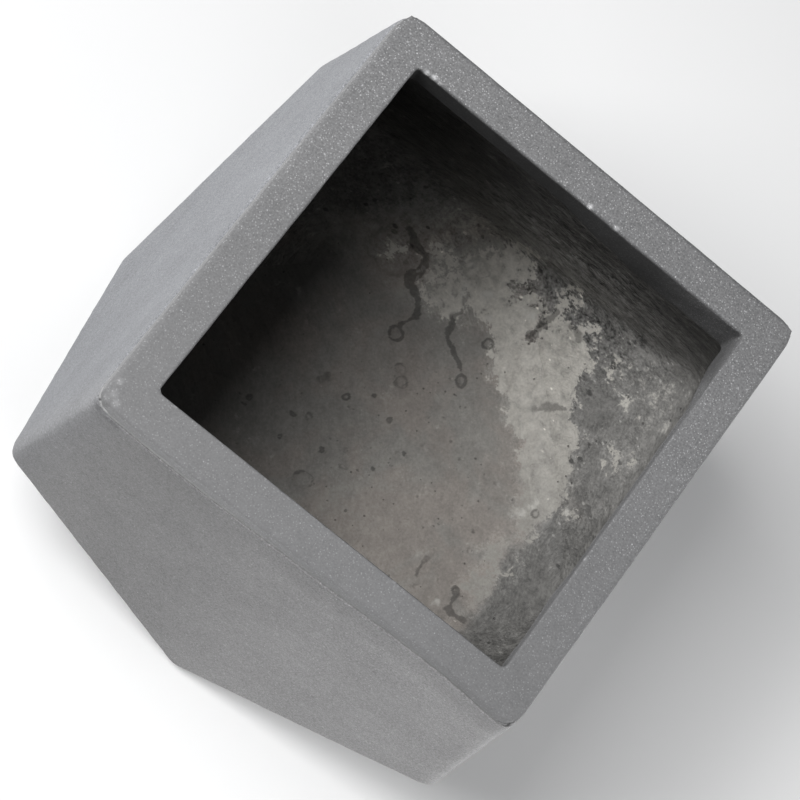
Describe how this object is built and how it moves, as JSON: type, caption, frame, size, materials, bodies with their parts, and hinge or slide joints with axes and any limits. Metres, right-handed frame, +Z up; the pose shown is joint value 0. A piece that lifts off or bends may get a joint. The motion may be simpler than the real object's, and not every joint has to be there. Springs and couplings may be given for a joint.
{
  "type": "planter box",
  "caption": "Faceted square planter cast in fibre cement, with a flat thick rim, walls that flare down to a belt and corner facets that fold in to a turned square base.",
  "frame": {"origin": "centre of the flat underside, on the surface that the planter stands on", "axes": "+Z up; X and Y square to the sides of the rim, so the base's corners lie on the X and Y axes"},
  "size_m": [0.515, 0.515, 0.39],
  "materials": {
    "face_coat": "smooth matt cement with fine pale aggregate flecks",
    "rim_mix": "matt cement, lightly rubbed, with dense fine flecks",
    "mortar": "dark rough mortar",
    "brushed_coat": "dark brushed fibre cement with streaks and pits",
    "screed": "smooth poured cement with bubble rings and pale laitance",
    "glass_mat": "alkali-resistant glass-fibre mat"
  },
  "bodies": {
    "root": {"face_shell": "face_coat", "glass_scrim": "glass_mat", "fibre_backing": "brushed_coat", "rim_joint_bead": "mortar", "rim_frame": "rim_mix", "floor_screed": "screed", "floor_cove_1": "mortar", "floor_cove_2": "mortar", "floor_cove_3": "mortar", "floor_cove_4": "mortar"}
  },
  "joints": []
}
